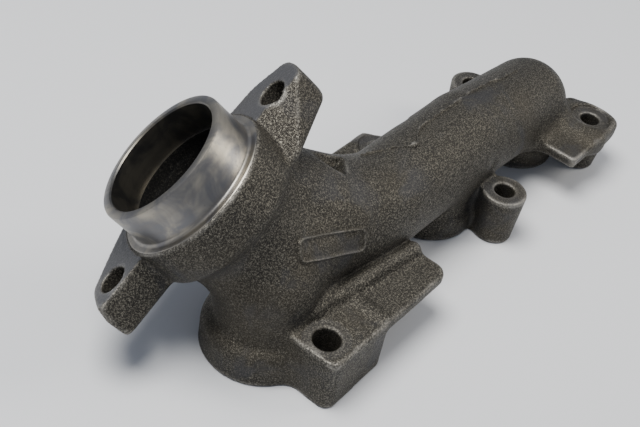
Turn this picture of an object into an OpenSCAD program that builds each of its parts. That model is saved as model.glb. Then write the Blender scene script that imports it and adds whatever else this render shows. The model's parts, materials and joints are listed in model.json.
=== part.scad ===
// Cast-iron exhaust manifold for one bank of an engine: three ports on a flat
// head face, a round log above them, and an outlet with a two-bolt flange and
// a machined spigot at the front end. The origin is the middle of the middle
// port on the head face, +X runs along the log to the rear, +Y away from the
// tall bolt seats, +Z away from the cylinder head.

/* [Ports] */
// Distance from the front port to the middle port
front_pitch = 112; // [104:1:126]
// Distance from the middle port to the rear port
rear_pitch = 74; // [68:1:88]
// Radius of each port's passage at the head face
port_r = 14; // [12:0.5:15.5]
// Radius of the front port's round pad
front_pad_r = 23; // [21:0.5:24]
// Radius of the middle and rear ports' round pads
pad_r = 20.5; // [19:0.5:23]
// Height of the port pads above the head face
pad_h = 10; // [7:0.5:11]
// Wall of the short runners between pads and log
runner_wall = 4.5; // [3.5:0.5:5.5]

/* [Log] */
// Outer radius of the log that joins the ports
log_r = 20.5; // [18:0.5:22]
// Casting wall of the log
log_wall = 5; // [4:0.5:6]
// Height of the log's centre line above the head face
log_z = 32; // [31:0.5:38]
// Height of the rear elbow's centre above the head face
elbow_z = 25.5; // [23.5:0.5:28]
// How far the front end of the log swings towards the outlet
front_swing = 8.5; // [5:0.5:10.5]

/* [Bolts] */
// Distance from the port line to the near row of bolt holes
row_y = 29; // [27:0.5:32]
// Distance from the port line to the far row of bolt holes
far_row_y = 25; // [24.5:0.5:29]
// Height of the bolt seats above the head face
seat_z = 24; // [20:0.5:26]
// Radius of the front, larger bolt hole
front_hole_r = 5.4; // [4.5:0.1:5.6]
// Radius of the other bolt holes
hole_r = 4.5; // [4:0.1:5]
// Radius of the round bolt bosses
boss_r = 10; // [8.5:0.5:11]
// Distance from the middle port to the middle near bolt
middle_bolt_x = 11.8; // [8:0.2:14]
// Distance from the rear port to the rear near bolt
rear_bolt_x = 15.4; // [12:0.2:19]
// Distance from the middle port forward to its far bolt
middle_far_x = 8; // [4:0.5:14]
// Distance from the rear port forward to its far bolt
rear_far_x = 6; // [2:0.5:10]
// Thickness of the thin wings beside the bolt blocks
wing_t = 5; // [4:0.5:8]
// Length of the front wing beyond its bolt block
front_wing_l = 38; // [28:1:44]
// Length of the rear wing beyond its bolt block
rear_wing_l = 22; // [16:1:30]
// Length of the far wing in front of the middle far bolt
far_wing_l = 25; // [16:1:30]

/* [Outlet] */
// Angle of the outlet axis above the head face
outlet_rise = 43.5; // [42:0.5:48]
// Direction of the outlet axis, measured from +X towards +Y
outlet_turn = 129.2; // [124:0.1:134]
// Turn of the two ears about the outlet axis
ear_turn = 35.9; // [30:0.1:42]
// Distance from the log's centre line to the outlet rim
outlet_reach = 61; // [58:0.5:70]
// Outer radius of the machined spigot
spigot_r = 27.5; // [26:0.25:28.5]
// Radius of the machined bore in the spigot
spigot_bore_r = 23.8; // [22.5:0.1:24.6]
// Length of the machined spigot
spigot_l = 15.5; // [13:0.5:18]
// Depth of the machined bore from the rim
spigot_bore_l = 13; // [10:0.5:15]
// Radius of the machined land around the spigot
land_r = 31.5; // [30:0.5:32.5]
// Thickness of the flange ears
ear_t = 16.5; // [12:0.5:18]
// Width of the flange ears
ear_w = 18; // [16:0.5:21]
// Distance between the two flange holes
ear_pitch = 87.4; // [84:0.2:94]
// Radius of the flange holes
ear_hole_r = 5.5; // [4.5:0.1:6]

/* [Hidden] */
$fn = 96;
far = 400;

// Places of the ports, bends and bolt holes
front_x = -front_pitch;
rear_x = rear_pitch;
junction = [front_x + 11, front_swing, log_z];
bend_x = -45;
dip_x = 18;
front_bend = atan(front_swing / (bend_x - junction[0]));
rear_dip = atan((log_z - elbow_z) / (rear_x - dip_x));
dip_length = norm([rear_x - dip_x, log_z - elbow_z]);
bore_r = log_r - log_wall;
runner_r = port_r + runner_wall;
rear_hole_x = rear_x + rear_bolt_x;

// Outlet sizes along its axis, counted from the junction
land_t = 1.5;
flange_top = outlet_reach - spigot_l - land_t;
flange_base = flange_top - ear_t;
collector_r = log_r + 2.5;
neck_start = 10;
neck_r = sqrt(pow(collector_r, 2) - pow(neck_start, 2));
neck_end_r = land_r - 5;
outlet_bore_r = collector_r - 4.5;
throat_r = spigot_bore_r - 1.2;
throat_start = 18;
log_start = 9;

// Bolt blocks
block_reach = 11.5;
block_front = 9;
block_rear = 26;
rear_block_front = 13;
rear_block_rear = 9;
front_corner_r = 4;
corner_r = 3;
seat_plate_t = 8;
web_w = 14;

// Inner edges of blocks, webs and wings, each inside the round body it grows from
front_block_root = runner_r - 4.5;
rear_block_root = runner_r - 2.5;
web_root = runner_r - 6.5;
front_wing_root = log_r - 8.5;
side_wing_root = log_r - 6.5;

module at_outlet() {
  translate(junction) rotate([0, 90 - outlet_rise, outlet_turn]) children();
}

module at_log_front() {
  translate(junction) rotate([0, 90, -front_bend]) children();
}

module at_log_rear() {
  translate([dip_x, 0, log_z]) rotate([0, 90 + rear_dip, 0]) children();
}

module behind(x) {
  translate([x, -far / 2, -far / 2]) cube(far);
}

module ahead(x) {
  translate([x - far, -far / 2, -far / 2]) cube(far);
}

// Solid outer shapes before the gas passage is cored out
module collector_body() {
  translate(junction) sphere(r = collector_r);
}

function log_y(x) = x < bend_x ? (bend_x - x) * tan(front_bend) : 0;

module log_front_body() {
  intersection() {
    at_log_front() translate([0, 0, log_start]) cylinder(r = log_r, h = 80);
    ahead(bend_x);
  }
}

module log_middle_body() {
  translate([bend_x, 0, log_z]) rotate([0, 90, 0]) cylinder(r = log_r, h = dip_x - bend_x);
}

module log_rear_body() {
  intersection() {
    at_log_rear() translate([0, 0, -5]) cylinder(r = log_r - 0.5, h = dip_length + 5);
    behind(dip_x);
  }
}

module elbow_body() {
  r = log_r - 0.5;
  arc = [for (a = [0:7.5:90]) [r * cos(a), r * sin(a)]];
  at_log_rear() translate([0, 0, dip_length]) rotate_extrude() polygon(concat([[0, 0]], arc));
}

module neck_body() {
  at_outlet() translate([0, 0, neck_start])
    cylinder(r1 = neck_r, r2 = neck_end_r, h = flange_base - neck_start);
}

module front_runner_body() {
  arc = [for (a = [0:7.5:90]) [runner_r * cos(a), log_z + runner_r * sin(a)]];
  translate([front_x, 0, 0]) rotate_extrude()
    polygon(concat([[0, pad_h], [runner_r, pad_h]], arc));
}

module runner_body(x, top) {
  translate([x, 0, pad_h]) cylinder(r = runner_r, h = top - pad_h);
}

// The cored gas passage, stretch by stretch
module outlet_passage() {
  bore_start = outlet_reach - spigot_bore_l;
  at_outlet() {
    cylinder(r = outlet_bore_r, h = throat_start);
    translate([0, 0, throat_start])
      cylinder(r1 = outlet_bore_r, r2 = throat_r, h = bore_start - throat_start);
    translate([0, 0, bore_start]) cylinder(r = spigot_bore_r, h = spigot_bore_l + 1);
  }
}

module junction_passage() {
  translate(junction) sphere(r = outlet_bore_r + 0.8);
  outlet_passage();
}

module front_passage() {
  translate([front_x, 0, log_z]) sphere(r = port_r + 1);
  translate([front_x, 0, -1]) cylinder(r = port_r, h = log_z + 1);
}

module rear_passage() {
  translate([rear_x, 0, elbow_z]) sphere(r = bore_r + 0.3);
  translate([rear_x, 0, -1]) cylinder(r = port_r, h = elbow_z + 1);
}

module front_bore() {
  at_log_front() cylinder(r = bore_r, h = 80);
}

module middle_bore() {
  translate([bend_x - 1, 0, log_z]) rotate([0, 90, 0]) cylinder(r = bore_r, h = dip_x - bend_x + 2);
}

module rear_bore() {
  at_log_rear() translate([0, 0, -6]) cylinder(r = bore_r, h = dip_length + 6);
}

module port_bore(x) {
  translate([x, 0, -1]) cylinder(r = port_r, h = log_z + 1);
}

module bolt_hole(x, y, r) {
  translate([x, y, -1]) cylinder(r = r, h = seat_z + 2);
}

module bolt_holes() {
  bolt_hole(front_x, -row_y, front_hole_r);
  bolt_hole(middle_bolt_x, -row_y, hole_r);
  bolt_hole(rear_hole_x, -row_y, hole_r);
  bolt_hole(-middle_far_x, far_row_y, hole_r);
  bolt_hole(rear_x - rear_far_x, far_row_y, hole_r);
}

module rounded_plate(x1, x2, y1, y2, r) {
  translate([x1 + r, y1]) square([x2 - x1 - 2 * r, y2 - y1]);
  translate([x1, y1 + r]) square([x2 - x1, y2 - y1 - r]);
  for (x = [x1 + r, x2 - r]) translate([x, y1 + r]) circle(r = r);
}

// Outlet end
module outlet_spigot() {
  color("silver") difference() {
    at_outlet() translate([0, 0, outlet_reach - spigot_l]) cylinder(r = spigot_r, h = spigot_l);
    outlet_passage();
  }
}

module outlet_land() {
  color("darkgray") difference() {
    at_outlet() translate([0, 0, flange_top]) cylinder(r = land_r, h = land_t);
    outlet_passage();
  }
}

module ear_outline() {
  root = land_r + 0.5;
  tip = ear_pitch / 2 + ear_w / 2 + 1;
  half = ear_w / 2;
  circle(r = root);
  polygon([
    [tip - 1, half - 1], [tip, 0], [tip - 3, 4 - half], [tip - 10, -half], [root * 0.8, -root * 0.74],
    [-root * 0.75, -root * 0.75], [5 - tip, -half - 4], [2 - tip, -half - 3], [-tip - 1, -half],
    [-tip - 3, -2], [-tip - 2, half - 4], [-root * 0.9, half - 5], [-root * 0.6, root * 0.8],
    [root * 0.72, root * 0.72], [tip - 12, half]
  ]);
}

module outlet_flange() {
  color("dimgray") difference() {
    at_outlet() translate([0, 0, flange_base]) rotate([0, 0, ear_turn])
      linear_extrude(ear_t) ear_outline();
    outlet_passage();
    at_outlet() rotate([0, 0, ear_turn]) for (side = [-1, 1])
      translate([side * ear_pitch / 2, 0, 0]) cylinder(r = ear_hole_r, h = outlet_reach);
  }
}

module outlet_neck() {
  color("dimgray") difference() {
    neck_body();
    log_front_body();
    junction_passage();
  }
}

// Log
module collector() {
  color("dimgray") difference() {
    collector_body();
    at_outlet() translate([-far / 2, -far / 2, neck_start]) cube(far);
    at_log_front() translate([-far / 2, -far / 2, log_start]) cube(far);
    junction_passage();
    front_bore();
    front_passage();
    translate([front_x, 0, 0]) cylinder(r = front_pad_r, h = pad_h);
  }
}

module log_front() {
  color("dimgray") difference() {
    log_front_body();
    junction_passage();
    front_bore();
  }
}

module log_middle() {
  color("dimgray") difference() {
    log_middle_body();
    middle_bore();
    port_bore(0);
  }
}

module log_rear() {
  color("dimgray") difference() {
    log_rear_body();
    translate([rear_x, 0, 0]) cylinder(r = pad_r, h = pad_h);
    rear_bore();
    rear_passage();
  }
}

module rear_elbow() {
  color("dimgray") difference() {
    union() {
      elbow_body();
      runner_body(rear_x, elbow_z);
    }
    log_rear_body();
    rear_passage();
  }
}

// Runners and port pads
module front_runner() {
  color("dimgray") difference() {
    front_runner_body();
    collector_body();
    neck_body();
    log_front_body();
    junction_passage();
    front_passage();
  }
}

module middle_runner() {
  color("dimgray") difference() {
    runner_body(0, log_z);
    log_middle_body();
    log_rear_body();
    port_bore(0);
  }
}

module port_pad(x, r) {
  color("dimgray") difference() {
    translate([x, 0, 0]) cylinder(r = r, h = pad_h);
    port_bore(x);
    bolt_holes();
  }
}

module front_port_pad() { port_pad(front_x, front_pad_r); }
module middle_port_pad() { port_pad(0, pad_r); }
module rear_port_pad() { port_pad(rear_x, pad_r); }

// Bolt blocks and bosses
module front_block_body() {
  linear_extrude(seat_z)
    rounded_plate(front_x - block_front, front_x + block_rear,
      -row_y - block_reach, -front_block_root, front_corner_r);
}

module rear_block_body() {
  translate([0, 0, seat_z - seat_plate_t]) linear_extrude(seat_plate_t)
    rounded_plate(rear_hole_x - rear_block_front, rear_hole_x + rear_block_rear,
      -row_y - block_reach, -rear_block_root, corner_r);
  translate([rear_hole_x, -row_y, 0]) cylinder(r = boss_r, h = seat_z);
  translate([rear_x, -row_y, 0]) cube([rear_bolt_x, row_y - web_root, seat_z]);
}

module front_bolt_block() {
  color("dimgray") difference() {
    front_block_body();
    translate([front_x, 0, 0]) cylinder(r = front_pad_r, h = pad_h);
    front_runner_body();
    collector_body();
    log_front_body();
    bolt_hole(front_x, -row_y, front_hole_r);
  }
}

module rear_bolt_block() {
  color("dimgray") difference() {
    rear_block_body();
    translate([rear_x, 0, 0]) cylinder(r = pad_r, h = pad_h);
    runner_body(rear_x, elbow_z);
    log_rear_body();
    elbow_body();
    bolt_hole(rear_hole_x, -row_y, hole_r);
  }
}

module near_boss_body(x) {
  translate([x, -row_y, 0]) cylinder(r = boss_r, h = seat_z);
  translate([x - web_w / 2, -row_y, 0]) cube([web_w, row_y - web_root, seat_z]);
}

module far_boss_body(x) {
  translate([x, far_row_y, 0]) cylinder(r = boss_r, h = seat_z);
  translate([x - web_w / 2, web_root, 0]) cube([web_w, far_row_y - web_root, seat_z]);
}

module middle_bolt_boss() {
  color("dimgray") difference() {
    near_boss_body(middle_bolt_x);
    cylinder(r = pad_r, h = pad_h);
    runner_body(0, log_z);
    log_middle_body();
    log_rear_body();
    bolt_hole(middle_bolt_x, -row_y, hole_r);
  }
}

module far_middle_bolt_boss() {
  color("dimgray") difference() {
    far_boss_body(-middle_far_x);
    cylinder(r = pad_r, h = pad_h);
    runner_body(0, log_z);
    log_middle_body();
    bolt_hole(-middle_far_x, far_row_y, hole_r);
  }
}

module far_rear_bolt_boss() {
  color("dimgray") difference() {
    far_boss_body(rear_x - rear_far_x);
    translate([rear_x, 0, 0]) cylinder(r = pad_r, h = pad_h);
    runner_body(rear_x, elbow_z);
    log_rear_body();
    elbow_body();
    bolt_hole(rear_x - rear_far_x, far_row_y, hole_r);
  }
}

// Thin wings and rib
module front_wing() {
  start = front_x + block_rear;
  color("dimgray") difference() {
    translate([start, -row_y - block_reach, seat_z - wing_t])
      cube([front_wing_l, row_y + block_reach - front_wing_root, wing_t]);
    collector_body();
    log_front_body();
    log_middle_body();
  }
}

module rear_wing() {
  end = rear_hole_x - rear_block_front;
  color("dimgray") difference() {
    translate([end - rear_wing_l, -row_y - block_reach, seat_z - wing_t])
      cube([rear_wing_l, row_y + block_reach - side_wing_root, wing_t]);
    runner_body(rear_x, elbow_z);
    log_rear_body();
    elbow_body();
  }
}

module far_wing() {
  overhang = 2;
  color("dimgray") difference() {
    translate([-middle_far_x - far_wing_l, side_wing_root, seat_z - wing_t])
      cube([far_wing_l, far_row_y + boss_r + overhang - side_wing_root, wing_t]);
    far_boss_body(-middle_far_x);
    log_middle_body();
  }
}

module front_rib() {
  rib_r = 4.5;
  rib_end = front_x + block_rear + front_wing_l - 1;
  start = [front_x + 2, rib_r - runner_r - 0.5, seat_z];
  finish = [rib_end, log_y(rib_end) - log_r - 2.1, seat_z];
  reach = finish - start;
  color("dimgray") difference() {
    translate(start) rotate([0, 90, atan2(reach[1], reach[0])]) cylinder(r = rib_r, h = norm(reach));
    translate([-far / 2, -far / 2, seat_z - far]) cube(far);
    front_runner_body();
    collector_body();
    log_front_body();
    log_middle_body();
  }
}

// Thin line left where the mould halves met
module parting_flash() {
  flash_w = 1.6;
  flash_h = 1;
  lean = 14;
  color("gray") {
    at_log_front() rotate([0, 0, -lean]) translate([0, 0, 22])
      linear_extrude(bend_x - junction[0] - 22) raised_strip(flash_w, flash_h);
    translate([bend_x, 0, log_z]) rotate([0, 90, 0]) rotate([0, 0, -lean]) translate([0, 0, 1])
      linear_extrude(dip_x - bend_x - 1) raised_strip(flash_w, flash_h);
  }
}

// Outline of a low strip that stands on the round log
module raised_strip(w, h) {
  difference() {
    translate([-log_r - h, -w / 2]) square([h + 3, w]);
    circle(r = log_r);
  }
}

// Blank raised plate where a casting carries its marks
module casting_tag() {
  tag_l = 32;
  tag_w = 11;
  tag_t = 1.2;
  lean = 42;
  color("gray") at_log_front() rotate([0, 0, lean]) translate([0, 0, 18])
    linear_extrude(tag_l) raised_strip(tag_w, tag_t);
}

outlet_spigot();
outlet_land();
outlet_flange();
outlet_neck();
collector();
log_front();
log_middle();
log_rear();
rear_elbow();
front_runner();
middle_runner();
front_port_pad();
middle_port_pad();
rear_port_pad();
front_bolt_block();
middle_bolt_boss();
rear_bolt_block();
far_middle_bolt_boss();
far_rear_bolt_boss();
front_wing();
rear_wing();
far_wing();
front_rib();
parting_flash();
casting_tag();
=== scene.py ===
import json
import math

import bmesh
import bpy
import numpy as np
from mathutils import Matrix, Vector


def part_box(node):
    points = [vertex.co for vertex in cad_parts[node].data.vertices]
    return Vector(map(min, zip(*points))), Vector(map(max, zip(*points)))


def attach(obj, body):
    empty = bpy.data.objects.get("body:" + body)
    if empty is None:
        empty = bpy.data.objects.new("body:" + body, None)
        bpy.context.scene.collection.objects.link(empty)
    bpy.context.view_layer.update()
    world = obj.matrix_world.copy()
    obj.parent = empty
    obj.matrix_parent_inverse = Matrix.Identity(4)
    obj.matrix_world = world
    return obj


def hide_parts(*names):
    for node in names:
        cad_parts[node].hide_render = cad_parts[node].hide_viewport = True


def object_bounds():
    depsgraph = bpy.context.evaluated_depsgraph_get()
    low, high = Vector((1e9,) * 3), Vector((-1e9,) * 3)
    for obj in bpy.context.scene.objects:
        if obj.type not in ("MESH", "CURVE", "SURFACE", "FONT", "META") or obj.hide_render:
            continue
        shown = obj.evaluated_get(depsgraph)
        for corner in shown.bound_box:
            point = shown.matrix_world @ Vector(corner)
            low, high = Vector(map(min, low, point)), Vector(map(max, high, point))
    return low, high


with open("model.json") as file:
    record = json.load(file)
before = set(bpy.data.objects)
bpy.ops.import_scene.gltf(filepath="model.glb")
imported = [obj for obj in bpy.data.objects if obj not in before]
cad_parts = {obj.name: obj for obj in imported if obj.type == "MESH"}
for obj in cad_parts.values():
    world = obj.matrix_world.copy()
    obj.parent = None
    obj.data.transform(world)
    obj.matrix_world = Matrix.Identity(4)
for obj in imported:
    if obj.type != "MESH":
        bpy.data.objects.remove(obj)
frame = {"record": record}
cad_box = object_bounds()

# ---------------------------------------------------------------------------
# The log. A round cored pipe of grey iron that gathers the three ports, bent a
# little at its front and dropping at its rear. The whole casting is poured
# from one distance field in millimetres, and the log is the first shape in it.
# ---------------------------------------------------------------------------
MM = 1000.0
VOXEL = 0.8
MARGIN = 4.0

mounts = {m["name"]: m for m in frame["record"]["mounts"]}


def place(name):
    """A mount's position in millimetres."""
    return np.array(mounts[name]["pos_m"]) * MM


def extent(node):
    """Lowest and highest corner of a CAD node in millimetres."""
    low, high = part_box(node)
    return np.array(low) * MM, np.array(high) * MM


def unit(v):
    return np.array(v, float) / np.linalg.norm(v)


grid_low = np.array(cad_box[0]) * MM - MARGIN
grid_high = np.array(cad_box[1]) * MM + MARGIN
grid_count = np.ceil((grid_high - grid_low) / VOXEL).astype(int) + 1
GX, GY, GZ = (
    (grid_low[i] + VOXEL * np.arange(grid_count[i], dtype=np.float32)).reshape(
        [-1 if i == k else 1 for k in range(3)])
    for i in range(3)
)


def rod(start, end, start_r, end_r):
    """Distance to a round-ended tapered rod."""
    line = np.array(end, float) - np.array(start, float)
    x, y, z = GX - start[0], GY - start[1], GZ - start[2]
    share = np.clip((x * line[0] + y * line[1] + z * line[2]) / (line @ line), 0, 1)
    off = np.sqrt((x - share * line[0]) ** 2 + (y - share * line[1]) ** 2 + (z - share * line[2]) ** 2)
    return off - (start_r + (end_r - start_r) * share)


def rounded(across, along, edge):
    """Joins a side distance and an end distance into one solid with a round edge."""
    across, along = across + edge, along + edge
    outside = np.sqrt(np.maximum(across, 0) ** 2 + np.maximum(along, 0) ** 2)
    return np.minimum(np.maximum(across, along), 0) + outside - edge


def drum(base, axis, radius, height, edge=0.0, taper=0.0):
    """Distance to a flat-ended cylinder that starts at base, where it may be thinner by taper."""
    x, y, z = GX - base[0], GY - base[1], GZ - base[2]
    along = x * axis[0] + y * axis[1] + z * axis[2]
    across = np.sqrt(np.maximum(x * x + y * y + z * z - along * along, 0)) - radius
    across = across + taper * np.clip(1 - along / height, 0, 1)
    return rounded(across, np.abs(along - height / 2) - height / 2, edge)


def block(low, high, corner, edge):
    """Distance to an upright box with round upright corners and softer top edges."""
    half = (np.array(high) - np.array(low)) / 2
    middle = (np.array(high) + np.array(low)) / 2
    x, y = np.abs(GX - middle[0]) - half[0] + corner, np.abs(GY - middle[1]) - half[1] + corner
    across = np.minimum(np.maximum(x, y), 0) + np.sqrt(np.maximum(x, 0) ** 2 + np.maximum(y, 0) ** 2) - corner
    return rounded(across, np.abs(GZ - middle[2]) - half[2], edge)


def fuse(a, b, fillet):
    """Union with a fillet in the corner."""
    share = np.clip(0.5 + 0.5 * (b - a) / fillet, 0, 1)
    return b + (a - b) * share - fillet * share * (1 - share)


def carve(a, b, edge):
    """Takes b out of a, and breaks the edge that it leaves."""
    return -fuse(-a, b, edge)


UP = np.array([0.0, 0.0, 1.0])
front_port, middle_port, rear_port = (place(n) for n in ("front_port", "middle_port", "rear_port"))
middle_low, middle_high = extent("log_middle")
log_r = (middle_high[1] - middle_low[1]) / 2
log_z = middle_high[2] - log_r
elbow_high = extent("rear_elbow")[1]
elbow_r = elbow_high[0] - rear_port[0]
elbow_z = elbow_high[2] - elbow_r

outlet_axis = unit(mounts["outlet_spigot"]["axis"])
spigot_length = mounts["outlet_spigot"]["dims"]["length_mm"]
rim = place("outlet_spigot") + outlet_axis * spigot_length / 2
outlet_reach = (rim[2] - log_z) / outlet_axis[2]
junction = rim - outlet_axis * outlet_reach
bend = np.array([middle_low[0], 0, log_z])
dip = np.array([middle_high[0], 0, log_z])
elbow = np.array([rear_port[0], 0, elbow_z])

iron = rod(junction, bend, log_r + 1.2, log_r)
iron = fuse(iron, rod(bend, dip, log_r, log_r), 0.6)
iron = fuse(iron, rod(dip, elbow, log_r, elbow_r), 0.6)

# ---------------------------------------------------------------------------
# Runners and port pads. Each port climbs from a round pad on the head face
# into the log through a short runner, all in the same pour of iron.
# ---------------------------------------------------------------------------
pad_height = extent("middle_port_pad")[1][2]
runner_r = (extent("front_runner")[1][1] - extent("front_runner")[0][1]) / 2
RUNNER_FILLET = 4.0

for port, top, node, swell, rise, edge in (
    (front_port, log_z - 4, "front_port_pad", 0.7, 5.0, 5.0),
    (middle_port, log_z - 8, "middle_port_pad", 0.0, 0.0, 2.6),
    (rear_port, elbow_z - 6, "rear_port_pad", 0.0, 0.0, 2.6),
):
    pad_low, pad_high = extent(node)
    pad_r = (pad_high[0] - pad_low[0]) / 2 + swell
    pad = drum(port - 10 * UP, UP, pad_r, pad_height + rise + 10, edge)
    iron = fuse(iron, rod(port, port + UP * top, runner_r, runner_r), RUNNER_FILLET)
    iron = fuse(iron, pad, 4.0)

# ---------------------------------------------------------------------------
# Bolt blocks, bosses and wings. Tall seats carry the head studs beside the
# log; thin wings stiffen the blocks, and a rounded rib backs the front one.
# ---------------------------------------------------------------------------
seat_z = extent("front_bolt_block")[1][2]
near_half = mounts["near_bolt_holes"]["dims"]["spacing_x_mm"] / 2
far_half = mounts["far_bolt_holes"]["dims"]["spacing_x_mm"] / 2
front_hole = place("front_bolt_hole") * [1, 1, 0]
middle_hole, rear_hole = (place("near_bolt_holes") * [1, 1, 0] + [s * near_half, 0, 0] for s in (-1, 1))
far_middle_hole, far_rear_hole = (place("far_bolt_holes") * [1, 1, 0] + [s * far_half, 0, 0] for s in (-1, 1))
BELOW = np.array([0.0, 0.0, -8.0])
seat_drop = seat_z - BELOW[2]

BLOCK_CORNER = 4.2
BLOCK_EDGE = 1.3
BLOCK_FILLET = 4.5
low, high = extent("front_bolt_block")
iron = fuse(iron, block(low + BELOW, high, BLOCK_CORNER, BLOCK_EDGE), BLOCK_FILLET)

PLATE = 7.0
PLATE_CORNER = 4.5
PLATE_EDGE = 1.5
REAR_BOSS_R = 11.5
REAR_BOSS_TAPER = 3.6
low, high = extent("rear_bolt_block")
plate = block([low[0], low[1], seat_z - PLATE], high, PLATE_CORNER, PLATE_EDGE)
foot = drum(rear_hole + BELOW + [-0.5, 0.5, 0], UP, REAR_BOSS_R, seat_drop, 1.0, REAR_BOSS_TAPER)
iron = fuse(iron, fuse(plate, foot, 5.0), BLOCK_FILLET)

WING_EDGE = 1.2
for node, lengthen, corner, fillet in (
    ("front_wing", -4.0, 6.0, 3.0), ("rear_wing", 4.0, 1.6, 9.0), ("far_wing", 4.0, 1.6, 6.0),
):
    low, high = extent(node)
    wing = block(low + [min(lengthen, 0), 0, 0], high + [max(lengthen, 0), 0, 0], corner, WING_EDGE)
    iron = fuse(iron, wing, fillet)

BOSS_EDGE = 0.9
BOSS_TAPER = 1.6
BOSS_FILLET = 3.5
WEB_HALF_WIDTH = 6.5
WEB_REACH = 12
WEB_DROP = 1.5
WEB_EDGE = 2.0
boss_r = (extent("middle_bolt_boss")[1][0] - extent("middle_bolt_boss")[0][0]) / 2
for hole, inward in ((middle_hole, 1), (far_middle_hole, -1), (far_rear_hole, -1)):
    boss = drum(hole + BELOW, UP, boss_r, seat_drop, BOSS_EDGE, BOSS_TAPER)
    web_low = hole + [-WEB_HALF_WIDTH, min(0, WEB_REACH * inward), 0] + BELOW
    web_high = hole + [WEB_HALF_WIDTH, max(0, WEB_REACH * inward), seat_z - WEB_DROP]
    web = block(web_low, web_high, WEB_EDGE, WEB_EDGE)
    iron = fuse(iron, fuse(boss, web, 2.5), BOSS_FILLET)

rib_low, rib_high = extent("front_rib")
RIB_R = 3.6
RIB_FILLET = 2.6
rib_z = seat_z + 0.6
rib_front, rib_rear = [rib_low[0] + 4, rib_high[1] - 5, rib_z], [rib_high[0] - 2, rib_low[1] + 3, rib_z]
iron = fuse(iron, rod(rib_front, rib_rear, RIB_R, RIB_R), RIB_FILLET)

# ---------------------------------------------------------------------------
# Outlet neck and flange. The neck climbs from the log's front end to a thick
# two-ear flange, cast in one with it and square to the outlet axis.
# ---------------------------------------------------------------------------
EAR_TURN = math.radians(35.9)
EAR_THICKNESS = 16.5
FLANGE_R = 31.6
land_thickness = 1.5
flange_top = outlet_reach - spigot_length - land_thickness
flange_base = flange_top - EAR_THICKNESS

heading = unit([outlet_axis[0], outlet_axis[1], 0])
rise_sin, rise_cos = outlet_axis[2], math.hypot(outlet_axis[0], outlet_axis[1])
outlet_x = heading * rise_sin - UP * rise_cos
outlet_y = np.cross(UP, heading)
ear_line = outlet_x * math.cos(EAR_TURN) + outlet_y * math.sin(EAR_TURN)
ear_side = np.cross(outlet_axis, ear_line)

dx, dy, dz = GX - junction[0], GY - junction[1], GZ - junction[2]
out_u = dx * ear_line[0] + dy * ear_line[1] + dz * ear_line[2]
out_v = dx * ear_side[0] + dy * ear_side[1] + dz * ear_side[2]
out_w = dx * outlet_axis[0] + dy * outlet_axis[1] + dz * outlet_axis[2]
out_r = np.sqrt(out_u ** 2 + out_v ** 2)


def slab(corners, edge):
    """Distance to an upright wall round a convex outline of (u, v) corners, given anticlockwise."""
    inside = None
    for (u1, v1), (u2, v2) in zip(corners, corners[1:] + corners[:1]):
        length = math.hypot(u2 - u1, v2 - v1)
        away = ((out_u - u1) * (v2 - v1) - (out_v - v1) * (u2 - u1)) / length
        inside = away if inside is None else -fuse(-inside, -away, edge)
    return inside


EAR_CORNER = 1.6
EAR_EDGE = 0.5
FLANGE_UNDER_EDGE = 4.0
DRAFT = 0.24
DRAFT_DEPTH = 5.5
lower_ear = slab([
    (0, -26), (17, -27), (45.4, -10.4), (51.2, -6.2),
    (53.6, 0.5), (54.6, 8.6), (35, 7.2), (0, 6.2),
], EAR_CORNER)
upper_ear = slab([
    (0, 33), (-21, 25.2), (-55.8, 5.4), (-57.8, -1.3),
    (-56.0, -14.4), (-43, -14.8), (-18, -27), (0, -27),
], EAR_CORNER)
facet_u, facet_v = 36.6, 4.3
facet = 0.082 * (out_u + facet_u) + 0.685 * (out_v - facet_v) + 0.723 * (out_w - flange_top)
upper_ear = -fuse(-upper_ear, -facet, EAR_EDGE)
draft = DRAFT * np.clip(flange_top - out_w, 0, DRAFT_DEPTH)
outline = fuse(np.minimum(lower_ear - draft, upper_ear), out_r - FLANGE_R - 0.4 * draft, 1.5)
flange = carve(outline, out_w - flange_base, FLANGE_UNDER_EDGE)
flange = carve(flange, flange_top - out_w, EAR_EDGE)
rim_band = np.maximum(out_r - FLANGE_R, np.abs(out_w - flange_top) - land_thickness + 0.2)
flange = np.minimum(flange, rim_band)

NECK_START_R, NECK_END_R = 22.5, 27.0
NECK_FILLET = 8.0
FLANGE_FILLET = 7.0
GUSSET_FOOT_R, GUSSET_TOP_R = 19.0, 20.5
GUSSET_REACH = 42
GUSSET_SHIFT = 12
neck = rod(junction, junction + outlet_axis * (flange_base + 2), NECK_START_R, NECK_END_R)
log_axis = unit(bend - junction)
inward = unit(log_axis - outlet_axis * (log_axis @ outlet_axis))
gusset_top = junction + outlet_axis * (flange_base - 3) + inward * GUSSET_SHIFT
gusset_foot = junction + log_axis * GUSSET_REACH + [0, 1.5, 2]
neck = fuse(neck, rod(gusset_foot, gusset_top, GUSSET_FOOT_R, GUSSET_TOP_R), 4.0)
neck = np.maximum(neck, out_w - flange_top + 4)
iron = fuse(iron, neck, NECK_FILLET)
iron = fuse(iron, flange, FLANGE_FILLET)
del dx, dy, dz, lower_ear, upper_ear, facet, draft, outline, flange, rim_band, neck

# ---------------------------------------------------------------------------
# Gas passage, ports and bolt holes. The passage is the sand core's shape, left
# rough; the ports open on the milled head face and the holes are drilled.
# ---------------------------------------------------------------------------
CORE_EDGE = 0.4
CORE_FILLET = 3.0
DRILL_EDGE = 0.5
SPOT_FACE_R = 9.3
PASSAGE_SHADE_DEPTH = 1.6
bore_r = mounts["outlet_bore"]["dims"]["r_mm"]
bore_depth = mounts["outlet_bore"]["dims"]["length_mm"]
step_depth = outlet_reach - bore_depth
throat_r = bore_r - 1.2
core_r = 18.5
log_core_r = log_r - 5.0
port_r = mounts["middle_port"]["dims"]["r_mm"]

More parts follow.
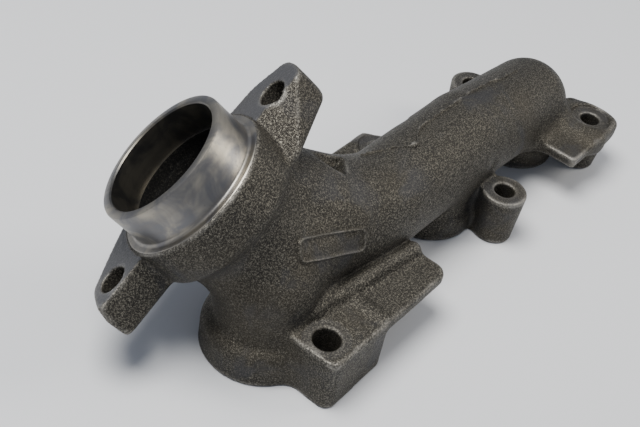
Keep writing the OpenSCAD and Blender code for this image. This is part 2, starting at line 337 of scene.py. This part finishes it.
ripple = 0.22 * np.sin(GX / 8.3 + 1.1 * np.sin(GZ / 9.7)) * np.sin(GY / 7.1 + 0.6) * np.cos(GZ / 8.9 - 0.8)
iron = iron + ripple.astype(np.float32)

core = rod(junction, bend, log_core_r, log_core_r)
core = fuse(core, rod(bend, dip, log_core_r, log_core_r), CORE_FILLET)
core = fuse(core, rod(dip, elbow, log_core_r, log_core_r + 0.3), CORE_FILLET)
core = fuse(core, rod(junction, junction + outlet_axis * 16, core_r, core_r), CORE_FILLET)
throat_start = junction + outlet_axis * 18
core = np.minimum(core, rod(throat_start, junction + outlet_axis * flange_top, core_r, throat_r))
core = np.minimum(core, drum(junction + outlet_axis * (flange_top - 1), outlet_axis, throat_r, 40))
for port, top in ((front_port, log_z), (middle_port, log_z), (rear_port, elbow_z)):
    core = np.minimum(core, drum(port - 10 * UP, UP, port_r, top + 10))
iron = carve(iron, core, CORE_EDGE)
# Painted shade inside the gas passage: how close each point lies to the core, used to darken the passage near
# black.
passage_shade_share = np.clip(PASSAGE_SHADE_DEPTH - core, 0, 1).astype(np.float32)
iron = carve(iron, drum(junction + outlet_axis * step_depth, outlet_axis, bore_r, 60), 0.2)

for hole, radius in (
    (front_hole, mounts["front_bolt_hole"]["dims"]["r_mm"]),
    (middle_hole, mounts["near_bolt_holes"]["dims"]["hole_r_mm"]),
    (rear_hole, mounts["near_bolt_holes"]["dims"]["hole_r_mm"]),
    (far_middle_hole, mounts["far_bolt_holes"]["dims"]["hole_r_mm"]),
    (far_rear_hole, mounts["far_bolt_holes"]["dims"]["hole_r_mm"]),
):
    iron = carve(iron, drum(hole + [0, 0, seat_z], UP, SPOT_FACE_R, 40, 0.3), 0.6)
    iron = carve(iron, drum(hole - 20 * UP, UP, radius, 100), DRILL_EDGE)
ear_pitch = mounts["outlet_flange_holes"]["dims"]["pcd_mm"]
ear_hole_r = mounts["outlet_flange_holes"]["dims"]["hole_r_mm"]
for side in (-1, 1):
    foot = junction + ear_line * side * ear_pitch / 2
    iron = carve(iron, drum(foot, outlet_axis, ear_hole_r, 80), DRILL_EDGE)
iron = np.maximum(iron, -GZ)

# ---------------------------------------------------------------------------
# Skin of the casting. The field's zero surface becomes one closed mesh, and two
# measures of it are kept for the finish: how sharp an edge is, and how deep a
# corner lies.
# ---------------------------------------------------------------------------
EDGE_REACH = 3
HOLLOW_REACH = 8


def skin(field):
    """Closed mesh on the field's zero surface: points in millimetres, and four-sided faces."""
    solid = field < 0
    cells = np.array(field.shape) - 1
    corners = [(i, j, k) for i in (0, 1) for j in (0, 1) for k in (0, 1)]

    def corner(values, c):
        return values[tuple(slice(c[a], c[a] + cells[a]) for a in range(3))]

    filled = sum(corner(solid, c).astype(np.int8) for c in corners)
    active = (filled > 0) & (filled < 8)
    where = np.argwhere(active)
    number = np.full(active.shape, -1, np.int64)
    number[active] = np.arange(len(where))

    total, crossings = np.zeros((len(where), 3)), np.zeros((len(where), 1))
    for a in corners:
        for axis in range(3):
            if a[axis]:
                continue
            b = list(a)
            b[axis] = 1
            start, end = corner(field, a)[active], corner(field, b)[active]
            crossed = (start < 0) != (end < 0)
            share = np.where(crossed, start / np.where(crossed, start - end, 1), 0)
            point = where + a
            point = point + share[:, None] * (np.array(b) - a)
            total += point * crossed[:, None]
            crossings += crossed[:, None]
    points = grid_low + VOXEL * total / crossings

    faces = []
    for axis in range(3):
        u, v = (axis + 1) % 3, (axis + 2) % 3
        inner = [slice(1, -1)] * 3
        inner[axis] = slice(0, -1)
        ahead = list(inner)
        ahead[axis] = slice(1, None)
        start, end = solid[tuple(inner)], solid[tuple(ahead)]
        for leaving in (True, False):
            at = np.argwhere((start & ~end) if leaving else (~start & end))
            at[:, u] += 1
            at[:, v] += 1
            ring = []
            for du, dv in ((0, 0), (-1, 0), (-1, -1), (0, -1)):
                cell = at.copy()
                cell[:, u] += du
                cell[:, v] += dv
                ring.append(number[tuple(cell.T)])
            ring = np.stack(ring if leaving else ring[::-1], 1)
            faces.append(ring)
    return points, np.concatenate(faces)


def sample(values, points):
    """Reads a grid at points in millimetres."""
    at = (points - grid_low) / VOXEL
    cell = np.clip(np.floor(at).astype(int), 0, np.array(values.shape) - 2)
    x, y, z = (at - cell).T
    result = 0
    for i, wx in ((0, 1 - x), (1, x)):
        for j, wy in ((0, 1 - y), (1, y)):
            for k, wz in ((0, 1 - z), (1, z)):
                result = result + values[cell[:, 0] + i, cell[:, 1] + j, cell[:, 2] + k] * wx * wy * wz
    return result


def slope(points, step=0.6 * VOXEL):
    """The field's outward direction at points."""
    parts = []
    for axis in range(3):
        offset = np.zeros(3)
        offset[axis] = step
        parts.append(sample(iron, points + offset) - sample(iron, points - offset))
    g = np.stack(parts, 1)
    return g / np.maximum(np.linalg.norm(g, axis=1, keepdims=True), 1e-9)


def spread(values, reach):
    """Mean over a cube of cells."""
    for axis in range(3):
        padded = np.pad(values, [(reach + 1, reach) if a == axis else (0, 0) for a in range(3)], mode="edge")
        running = np.cumsum(padded, axis=axis, dtype=np.float64).astype(np.float64)
        width = 2 * reach + 1
        high = np.take(running, range(width, running.shape[axis]), axis=axis)
        low = np.take(running, range(0, running.shape[axis] - width), axis=axis)
        values = ((high - low) / width).astype(np.float32)
    return values


points, faces = skin(iron)
for _ in range(3):
    points = points - sample(iron, points)[:, None] * slope(points) * 0.7
bulk = np.clip(0.5 - iron / VOXEL, 0, 1).astype(np.float32)
edge_share = spread(bulk, EDGE_REACH)
# How deep each corner lies; the finish paints shade into the deep ones.
hollow_share = spread(bulk, HOLLOW_REACH)

# ---------------------------------------------------------------------------
# Cast finish. Grey iron straight from the sand: a dark skin of fine grain that
# glints, rubbed bright along its sharp edges, with painted shade in its corners.
# ---------------------------------------------------------------------------


class Wire:
    """One value in a finish. Sums and products of wires add Math nodes."""

    def __init__(self, finish, socket):
        self.finish, self.socket = finish, socket

    def _sum(self, operation, *values):
        return self.finish.add("ShaderNodeMath", {"operation": operation}, dict(enumerate(values)))

    def __add__(self, other):
        return self._sum("ADD", self, other)

    def __sub__(self, other):
        return self._sum("SUBTRACT", self, other)

    def __rsub__(self, other):
        return self._sum("SUBTRACT", other, self)

    def __mul__(self, other):
        return self._sum("MULTIPLY", self, other)

    __radd__, __rmul__ = __add__, __mul__

    def between(self, low, high, start=0.0, end=1.0):
        """Goes smoothly from start to end as the value goes from low to high."""
        settings = {"interpolation_type": "SMOOTHSTEP"}
        return self.finish.add("ShaderNodeMapRange", settings, {0: self, 1: low, 2: high, 3: start, 4: end})


class Finish:
    """A material under construction."""

    def __init__(self, name):
        self.material = bpy.data.materials.new(name)
        self.material.use_nodes = True
        self.tree = self.material.node_tree
        self.tree.nodes.clear()

    def add(self, kind, settings, sockets, output=0):
        """Adds a node: its settings first, then its sockets' values or wires."""
        node = self.tree.nodes.new(kind)
        for name, value in settings.items():
            setattr(node, name, value)
        for name, value in sockets.items():
            if isinstance(value, Wire):
                self.tree.links.new(value.socket, node.inputs[name])
            else:
                node.inputs[name].default_value = value
        return Wire(self, node.outputs[output])

    def place(self):
        return self.add("ShaderNodeTexCoord", {}, {}, "Object")

    def measure(self, name):
        """A number that the mesh carries at each point."""
        return self.add("ShaderNodeAttribute", {"attribute_name": name}, {}, "Fac")

    def noise(self, place, size, detail=2.0, rough=0.5, warp=0.0):
        """Cloudy noise whose lumps are about this many metres across."""
        values = {"Vector": place, "Scale": 1 / size, "Detail": detail, "Roughness": rough}
        values["Distortion"] = warp
        return self.add("ShaderNodeTexNoise", {}, values)

    def cells(self, place, size):
        """Distance to the nearest of scattered points, about this many metres apart."""
        return self.add("ShaderNodeTexVoronoi", {}, {"Vector": place, "Scale": 1 / size}, "Distance")

    def blend(self, share, first, second):
        """First colour where share is 0, second where it is 1."""
        return self.add("ShaderNodeMix", {"data_type": "RGBA"}, {0: share, 6: first, 7: second}, 2)

    def bump(self, height, depth):
        """Raises the surface by up to depth metres."""
        return self.add("ShaderNodeBump", {}, {"Height": height, "Distance": depth, "Strength": 1.0})

    def surface(self, **values):
        shader = self.add("ShaderNodeBsdfPrincipled", {}, {k.replace("_", " "): v for k, v in values.items()})
        end = self.tree.nodes.new("ShaderNodeOutputMaterial")
        self.tree.links.new(shader.socket, end.inputs["Surface"])
        return self.material


def cast_iron():
    skin_finish = Finish("cast_iron")
    at = skin_finish.place()
    grain = skin_finish.noise(at, 0.0007, 3, 0.6)
    fine = skin_finish.noise(at, 0.00032, 2, 0.6)
    pits = skin_finish.cells(at, 0.0012)
    patch = skin_finish.noise(at, 0.020, 3, 0.55, 0.6)
    stain = skin_finish.noise(at, 0.05, 2, 0.5)
    sharp = skin_finish.measure("edge")
    deep = skin_finish.measure("hollow")
    inside = skin_finish.measure("soot")
    face = skin_finish.measure("face")

    worn = sharp.between(0.56, 0.72) * (patch * 0.6 + grain * 0.4).between(0.38, 0.62, 0.1, 1.0)
    # Painted shade: deep corners are darkened towards near black further down.
    soot = deep.between(0.09, 0.30, 0.0, 0.8)
    glint = (grain * 0.45 + fine * 0.55).between(0.46, 0.66)
    smooth = patch.between(0.50, 0.66) * stain.between(0.42, 0.60) * (1.0 - face) + face

    shade = skin_finish.blend(glint, (0.022, 0.020, 0.017, 1), (0.20, 0.185, 0.150, 1))
    shade = skin_finish.blend(smooth * 0.6, shade, (0.045, 0.047, 0.054, 1))
    shade = skin_finish.blend(face * 0.65, shade, (0.12, 0.12, 0.125, 1))
    shade = skin_finish.blend(stain.between(0.50, 0.72) * 0.4, shade, (0.060, 0.051, 0.036, 1))
    shade = skin_finish.blend(soot * 0.85, shade, (0.010, 0.010, 0.010, 1))
    shade = skin_finish.blend(worn * 0.45, shade, (0.42, 0.40, 0.36, 1))
    # Inside the gas passage the colour goes near black: painted shade.
    shade = skin_finish.blend(inside * (1.0 - glint * 0.25), shade, (0.006, 0.006, 0.006, 1))

    roughness = 0.60 - glint * 0.14 - worn * 0.14 + soot * 0.25 + inside * 0.2 - face * 0.08
    relief = grain * (1.0 - smooth * 0.5) + fine * 0.35 + pits * 0.3
    return skin_finish.surface(
        Base_Color=shade, Metallic=0.75, Roughness=roughness, Normal=skin_finish.bump(relief, 0.00030))


cast_finish = cast_iron()

# ---------------------------------------------------------------------------
# Cutting the casting into its regions. The one skin is cut along flat planes
# and each cut is closed, so that each region is a solid that meets the next
# face to face; each rides on the one rigid body.
# ---------------------------------------------------------------------------
CUT_CLEARANCE = 1.0


def cut(mesh, point, normal):
    """Cuts a closed mesh with a plane. Returns the closed part ahead of it and the one behind."""
    parts = []
    for ahead in (True, False):
        part = mesh.copy()
        everything = part.verts[:] + part.edges[:] + part.faces[:]
        made = bmesh.ops.bisect_plane(
            part, geom=everything, dist=1e-5, plane_co=Vector(point), plane_no=Vector(normal),
            clear_inner=ahead, clear_outer=not ahead)
        rim = [e for e in made["geom_cut"] if isinstance(e, bmesh.types.BMEdge)]
        cap = bmesh.ops.triangle_fill(part, edges=rim, use_beauty=True)
        for f in cap["geom"]:
            if isinstance(f, bmesh.types.BMFace):
                f.material_index = 1
        bmesh.ops.recalc_face_normals(part, faces=part.faces[:])
        parts.append(part)
    mesh.free()
    return parts


def seat_face(at):
    """1 on the flat top faces of the flange ears and 0.15 on the bolt seats, which are smoother than the
    rest.
    """
    offset = at - junction
    height = offset @ outlet_axis
    outward = slope(at)
    ear = (np.abs(height - flange_top) < 0.6) & (outward @ outlet_axis > 0.9)
    seat = np.zeros(len(at), bool)
    for hole in (front_hole, middle_hole, rear_hole, far_middle_hole, far_rear_hole):
        away = np.hypot(at[:, 0] - hole[0], at[:, 1] - hole[1])
        seat |= (away < 9.5) & (outward[:, 2] > 0.9) & (np.abs(at[:, 2] - seat_z) < 1.0)
    return ear * 1.0 + seat * 0.15


def region(mesh, name, *nodes):
    """Turns a region of the casting into a finished piece that stands for these CAD nodes."""
    data = bpy.data.meshes.new(name)
    is_cap = [f.material_index == 1 for f in mesh.faces]
    mesh.to_mesh(data)
    mesh.free()
    at = np.empty(len(data.vertices) * 3)
    data.vertices.foreach_get("co", at)
    at = at.reshape(-1, 3)
    outward = slope(at)
    facing = np.empty(len(data.polygons) * 3)
    data.polygons.foreach_get("normal", facing)
    facing = facing.reshape(-1, 3)
    loop_vertex = np.empty(len(data.loops), int)
    data.loops.foreach_get("vertex_index", loop_vertex)
    loops_in_face = np.empty(len(data.polygons), int)
    data.polygons.foreach_get("loop_total", loops_in_face)
    loop_face = np.repeat(np.arange(len(data.polygons)), loops_in_face)
    normals = np.where(np.array(is_cap)[loop_face, None], facing[loop_face], outward[loop_vertex])
    data.polygons.foreach_set("material_index", np.zeros(len(data.polygons), int))
    data.polygons.foreach_set("use_smooth", np.ones(len(data.polygons), bool))
    data.normals_split_custom_set(normals.tolist())
    for measure, values in (
        ("edge", 1.0 - sample(edge_share, at)),
        ("hollow", sample(hollow_share, at) - 0.5),
        ("soot", sample(passage_shade_share, at)),
        ("face", seat_face(at)),
    ):
        data.attributes.new(measure, "FLOAT", "POINT").data.foreach_set("value", values.astype(np.float32))
    data.transform(Matrix.Scale(1 / MM, 4))
    data.materials.append(cast_finish)
    piece = bpy.data.objects.new("cast_" + name, data)
    bpy.context.scene.collection.objects.link(piece)
    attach(piece, "root")
    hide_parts(*nodes)
    return piece


whole = bmesh.new()
corners = [whole.verts.new(p) for p in points]
for ring in faces.tolist():
    whole.faces.new([corners[i] for i in ring])

X, Y, Z = (1, 0, 0), (0, 1, 0), (0, 0, 1)
near_side = -(log_r + 0.6)
far_side = log_r + 1.0
rear_cut = middle_port[0] + 24
elbow_cut = rear_port[0] - (extent("rear_port_pad")[1][0] - rear_port[0]) - CUT_CLEARANCE
front_wing_start = extent("front_wing")[0][0]
rear_wing_end = extent("rear_wing")[1][0]
far_wing_end = far_middle_hole[0] - boss_r
runner_cut = front_port[0] + runner_r
runner_top = 26.0
neck_cut = 14.0

flange_part, body = cut(whole, junction + outlet_axis * (flange_base - 1.3), outlet_axis)
neck_part, body = cut(body, junction + outlet_axis * neck_cut, outlet_axis)
region(flange_part, "outlet_flange", "outlet_flange")
region(neck_part, "outlet_neck", "outlet_neck")

rear_part, body = cut(body, (rear_cut, 0, 0), X)
middle_part, front_part = cut(body, (bend[0], 0, 0), X)

front_part, near_part = cut(front_part, (0, near_side, 0), Y)
wing_part, block_part = cut(near_part, (front_wing_start, 0, 0), X)
region(wing_part, "front_wing", "front_wing")
region(block_part, "front_bolt_block", "front_bolt_block")
front_part, pad_part = cut(front_part, (0, 0, pad_height), Z)
region(pad_part, "front_port_pad", "front_port_pad")
log_part, end_part = cut(front_part, (runner_cut, 0, 0), X)
region(log_part, "log_front", "log_front", "front_rib")
collector_part, runner_part = cut(end_part, (0, 0, runner_top), Z)
region(collector_part, "collector", "collector")
region(runner_part, "front_runner", "front_runner")

middle_part, boss_part = cut(middle_part, (0, near_side, 0), Y)
region(boss_part, "middle_bolt_boss", "middle_bolt_boss")
far_part, middle_part = cut(middle_part, (0, far_side, 0), Y)
boss_part, wing_part = cut(far_part, (far_wing_end, 0, 0), X)
region(boss_part, "far_middle_bolt_boss", "far_middle_bolt_boss")
region(wing_part, "far_wing", "far_wing")
log_part, pad_part = cut(middle_part, (0, 0, pad_height), Z)
region(log_part, "log_middle", "log_middle", "middle_runner")
region(pad_part, "middle_port_pad", "middle_port_pad")

rear_part, near_part = cut(rear_part, (0, near_side, 0), Y)
block_part, wing_part = cut(near_part, (rear_wing_end, 0, 0), X)
region(block_part, "rear_bolt_block", "rear_bolt_block")
region(wing_part, "rear_wing", "rear_wing")
boss_part, rear_part = cut(rear_part, (0, far_side, 0), Y)
region(boss_part, "far_rear_bolt_boss", "far_rear_bolt_boss")
elbow_part, log_part = cut(rear_part, (elbow_cut, 0, 0), X)
region(log_part, "log_rear", "log_rear")
elbow_part, pad_part = cut(elbow_part, (0, 0, pad_height), Z)
region(elbow_part, "rear_elbow", "rear_elbow")
region(pad_part, "rear_port_pad", "rear_port_pad")

# ---------------------------------------------------------------------------
# Casting tag and parting flash. A blank cartouche with a raised rim stands on
# the log's near side, and a thin ragged ridge of iron runs along its top where
# the mould halves met; both are cast in, so they follow the log's own skin.
# ---------------------------------------------------------------------------


def on_skin(start, inward):
    """Walks points straight in until they meet the casting's skin."""
    at = np.array(start, float)
    for _ in range(60):
        at = at + np.array(inward) * sample(iron, at)[:, None] * 0.8
    return at


def relief_sheet(name, grid, height, foot, node):
    """A closed low shape: a grid of skin points raised by height, over the same grid sunk below."""
    rows, columns = grid.shape[:2]
    flat = grid.reshape(-1, 3)
    outward = slope(flat, 2.0)
    top = flat + outward * height.reshape(-1, 1)
    base = flat - outward * foot
    mesh = bmesh.new()
    upper = [mesh.verts.new(p / MM) for p in top]
    lower = [mesh.verts.new(p / MM) for p in base]

    def number(i, j):
        return i * columns + j

    for i in range(rows - 1):
        for j in range(columns - 1):
            ring = [number(i, j), number(i + 1, j), number(i + 1, j + 1), number(i, j + 1)]
            mesh.faces.new([upper[k] for k in ring])
            mesh.faces.new([lower[k] for k in reversed(ring)])
    border = [number(i, 0) for i in range(rows)]
    border += [number(rows - 1, j) for j in range(1, columns)]
    border += [number(i, columns - 1) for i in range(rows - 2, -1, -1)]
    border += [number(0, j) for j in range(columns - 2, 0, -1)]
    for a, b in zip(border, border[1:] + border[:1]):
        mesh.faces.new([upper[a], lower[a], lower[b], upper[b]])
    bmesh.ops.recalc_face_normals(mesh, faces=mesh.faces[:])
    data = bpy.data.meshes.new(name)
    mesh.to_mesh(data)
    mesh.free()
    data.shade_smooth()
    data.materials.append(cast_finish)
    ridge = np.concatenate([height.ravel(), np.zeros(height.size)])
    worn = data.attributes.new("edge", "FLOAT", "POINT")
    worn.data.foreach_set("value", (0.5 + 0.14 * ridge).astype(np.float32))
    piece = bpy.data.objects.new("cast_" + name, data)
    bpy.context.scene.collection.objects.link(piece)
    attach(piece, "root")
    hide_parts(node)


TAG_LENGTH, TAG_WIDTH, TAG_STEP = 34.0, 10.5, 0.5
TAG_CORNER = 3.6
TAG_RIM_MIDDLE = 0.9
TAG_PLATE = 0.25
TAG_BORDER = 1.0
SUNK = 0.8
tag_out = unit([-0.35, -0.72, 0.60])
tag_lean = np.array([0.86, -0.50, -0.06])
tag_along = unit(tag_lean - tag_out * (tag_lean @ tag_out))
tag_across = np.cross(tag_out, tag_along)
tag_middle = np.array([-91.0, -9.5, 44.0])


def tag_line(length):
    """Steps across the tag and a narrow border round it."""
    reach = length / 2 + TAG_BORDER
    return np.arange(-reach, reach + 0.01, TAG_STEP)


a, b = tag_line(TAG_LENGTH)[:, None], tag_line(TAG_WIDTH)[None, :]
qa, qb = np.abs(a) - TAG_LENGTH / 2 + TAG_CORNER, np.abs(b) - TAG_WIDTH / 2 + TAG_CORNER
tag_edge = np.minimum(np.maximum(qa, qb), 0) + np.hypot(np.maximum(qa, 0), np.maximum(qb, 0)) - TAG_CORNER
rim_height = np.clip(1.25 - np.abs(tag_edge + TAG_RIM_MIDDLE) * 1.5, 0, 0.9)
plate_height = np.where(tag_edge < -0.6, TAG_PLATE, -TAG_PLATE) + rim_height
start = tag_middle + tag_out * 14 + a[..., None] * tag_along + b[..., None] * tag_across
tag_points = on_skin(start.reshape(-1, 3), -tag_out).reshape(start.shape)
relief_sheet("casting_tag", tag_points, plate_height, SUNK, "casting_tag")

FLASH_STEP = 0.7
FLASH_SUNK = 0.7
BLOB_X, BLOB_LENGTH = -28.0, 2.2
flash_path = [
    (-50, 9.0), (-42.5, 7.4), (-36.5, 4.7), (-30, -0.4), (-25.5, -1.5), (-22, 1.5), (-16, 4.0),
    (-1, 4.3), (13, 3.8), (31, 4.4), (39, 4.2), (45, 2.4), (54, 2.4), (62, 2.6),
]
path_x, path_y = zip(*flash_path)
flash_x = np.arange(path_x[0], path_x[-1], FLASH_STEP)
chance = np.random.default_rng(7)
jitter = np.convolve(chance.normal(0, 1, len(flash_x) + 4), np.ones(3) / 3, mode="same")[2:-2]
flash_y = np.interp(flash_x, path_x, path_y) + jitter * 0.28
flash_tall = np.clip(1.1 + jitter * 0.6, 0.3, 1.8)
blob = np.exp(-((flash_x - BLOB_X) / BLOB_LENGTH) ** 2)
across_line = np.linspace(-1, 1, 7)
half_width = 0.8 + 0.35 * np.clip(jitter, -1, 1) + 1.3 * blob
lines = flash_y[:, None] + across_line[None, :] * half_width[:, None]
above = np.full(lines.shape, log_z + log_r + 9.5)
start = np.stack([np.broadcast_to(flash_x[:, None], lines.shape), lines, above], -1)
flash_points = on_skin(start.reshape(-1, 3), -UP).reshape(start.shape)
flash_height = (1 - np.abs(across_line[None, :]) ** 1.5) * (flash_tall + blob * 0.6)[:, None] - 0.2
relief_sheet("parting_flash", flash_points, flash_height, FLASH_SUNK, "parting_flash")

# ---------------------------------------------------------------------------
# Outlet spigot and its land. Both are turned in one setting on the lathe, so
# they share fine rings about the outlet axis and a satin face.
# ---------------------------------------------------------------------------
TURNED_SEGMENTS = 192
spigot_r = mounts["outlet_spigot"]["dims"]["r_mm"]
land_r = 30.9


def turned_iron():
    turned = Finish("machined_iron")
    at = turned.place()
    centre = tuple(Vector(junction) / MM)
    offset = turned.add("ShaderNodeVectorMath", {"operation": "SUBTRACT"}, {0: at, 1: centre})
    dot = {"operation": "DOT_PRODUCT"}
    along = turned.add("ShaderNodeVectorMath", dot, {0: offset, 1: tuple(outlet_axis)}, "Value")
    across = turned.add("ShaderNodeVectorMath", {"operation": "LENGTH"}, {0: offset}, "Value")
    rings = turned.add("ShaderNodeCombineXYZ", {}, {0: along, 1: across})
    cuts = turned.noise(rings, 0.0006, 3, 0.6)
    bands = turned.noise(rings, 0.004, 2, 0.5)
    cloud = turned.noise(at, 0.012, 3, 0.55, 0.8)
    specks = turned.noise(at, 0.0009, 2, 0.6)
    shade = turned.blend(cloud.between(0.36, 0.64), (0.15, 0.15, 0.155, 1), (0.33, 0.305, 0.255, 1))
    shade = turned.blend(bands.between(0.45, 0.70) * 0.25, shade, (0.17, 0.155, 0.14, 1))
    shade = turned.blend(specks.between(0.62, 0.74) * 0.4, shade, (0.16, 0.15, 0.14, 1))
    # The turned bore is darkened: painted shade inside the spigot.
    shade = turned.blend(turned.measure("bore") * 0.6, shade, (0.035, 0.032, 0.026, 1))
    roughness = 0.33 + cloud * 0.12 + specks.between(0.55, 0.75) * 0.12
    relief = turned.bump(cuts * 0.8 + specks * 0.2, 0.00004)
    return turned.surface(Base_Color=shade, Metallic=0.95, Roughness=roughness, Normal=relief)


turned_finish = turned_iron()


def turn(name, outline, node):
    """Spins a closed outline of (height, radius) corners about the outlet axis."""
    side = unit(np.cross(outlet_axis, UP))
    other = np.cross(outlet_axis, side)
    mesh = bmesh.new()
    rings = []
    for height, radius in outline:
        ring = []
        for step in range(TURNED_SEGMENTS):
            turn_by = 2 * math.pi * step / TURNED_SEGMENTS
            out = side * math.cos(turn_by) + other * math.sin(turn_by)
            ring.append(mesh.verts.new((junction + outlet_axis * height + out * radius) / MM))
        rings.append(ring)
    for first, second in zip(rings, rings[1:] + rings[:1]):
        for step in range(TURNED_SEGMENTS):
            after = (step + 1) % TURNED_SEGMENTS
            mesh.faces.new((first[step], first[after], second[after], second[step]))
    bmesh.ops.recalc_face_normals(mesh, faces=mesh.faces[:])
    data = bpy.data.meshes.new(name)
    mesh.to_mesh(data)
    mesh.free()
    data.shade_smooth()
    data.set_sharp_from_angle(angle=math.radians(25))
    data.materials.append(turned_finish)
    data.materials.append(cast_finish)
    for face in data.polygons:
        offset = np.array(face.center) * MM - junction
        height = offset @ outlet_axis
        if np.linalg.norm(offset - height * outlet_axis) < throat_r + 0.02:
            face.material_index = 1
    # Painted shade: throat faces carry the passage's near-black painted shade, and faces in the turned bore
    # carry the bore's painted shade.
    radii = np.array([round(r, 3) for _, r in outline for _ in range(TURNED_SEGMENTS)])
    for measure, values in (("soot", radii <= throat_r + 0.01), ("bore", radii <= bore_r + 0.6)):
        data.attributes.new(measure, "FLOAT", "POINT").data.foreach_set("value", values.astype(np.float32))
    piece = bpy.data.objects.new("turned_" + name, data)
    bpy.context.scene.collection.objects.link(piece)
    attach(piece, "root")
    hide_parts(node)
    return piece


land_top = flange_top + land_thickness
FOOT_R = 1.2
foot = [
    (land_top + FOOT_R * (1 - math.cos(a)), spigot_r + FOOT_R * (1 - math.sin(a)))
    for a in (math.radians(d) for d in (0, 22.5, 45, 67.5, 90))
]
turn("outlet_spigot", [
    (land_top, throat_r), *foot,
    (outlet_reach - 0.8, spigot_r), (outlet_reach - 0.25, spigot_r - 0.25), (outlet_reach, spigot_r - 0.8),
    (outlet_reach, bore_r + 0.5), (outlet_reach - 0.5, bore_r), (step_depth, bore_r), (step_depth, throat_r),
], "outlet_spigot")
turn("outlet_land", [
    (flange_top - 0.6, throat_r), (flange_top - 0.6, land_r), (land_top - 0.4, land_r),
    (land_top, land_r - 0.4), (land_top, throat_r),
], "outlet_land")

# ---------------------------------------------------------------------------
# Camera, floor and light. A pale table, one broad soft lamp overhead and two
# weak fills.
# ---------------------------------------------------------------------------
floor_mesh = bpy.data.meshes.new("floor")
FLOOR = 3.0
floor_corners = [(x * FLOOR, y * FLOOR, 0) for x, y in ((-1, -1), (1, -1), (1, 1), (-1, 1))]
floor_mesh.from_pydata(floor_corners, [], [(0, 1, 2, 3)])
paper = Finish("floor_paper")
floor_mesh.materials.append(paper.surface(Base_Color=(0.62, 0.63, 0.65, 1), Roughness=0.8))
floor = bpy.data.objects.new("floor", floor_mesh)
bpy.context.scene.collection.objects.link(floor)
floor.location.z = -0.0002

world = bpy.data.worlds.new("studio")
world.use_nodes = True
world.node_tree.nodes["Background"].inputs["Color"].default_value = (0.80, 0.86, 1.0, 1)
world.node_tree.nodes["Background"].inputs["Strength"].default_value = 0.42
bpy.context.scene.world = world

AIM = Vector((-0.020, 0.0, 0.030))


def lamp(name, spot, size, power, colour):
    light = bpy.data.lights.new(name, "AREA")
    light.shape, light.size, light.energy, light.color = "DISK", size, power, colour
    holder = bpy.data.objects.new(name, light)
    holder.location = spot
    holder.rotation_euler = (AIM - Vector(spot)).to_track_quat("-Z", "Y").to_euler()
    bpy.context.scene.collection.objects.link(holder)


lamp("overhead", (-0.25, 0.15, 0.95), 0.55, 15.0, (1.0, 0.985, 0.95))
lamp("side", (0.55, -0.50, 0.60), 0.40, 4.0, (1.0, 0.95, 0.86))

view = bpy.data.cameras.new("camera")
view.sensor_width, view.lens = 36.0, 64.63
view.clip_start, view.clip_end = 0.01, 20.0
camera = bpy.data.objects.new("camera", view)
look = Vector((0.641, 0.392, -0.660)).normalized()
over = Vector((0.449, 0.506, 0.736))
over = (over - look * over.dot(look)).normalized()
right = look.cross(over)
camera.matrix_world = Matrix((
    (right.x, over.x, -look.x, -0.3596), (right.y, over.y, -look.y, -0.1670),
    (right.z, over.z, -look.z, 0.3313), (0, 0, 0, 1)))
bpy.context.scene.collection.objects.link(camera)
bpy.context.scene.camera = camera
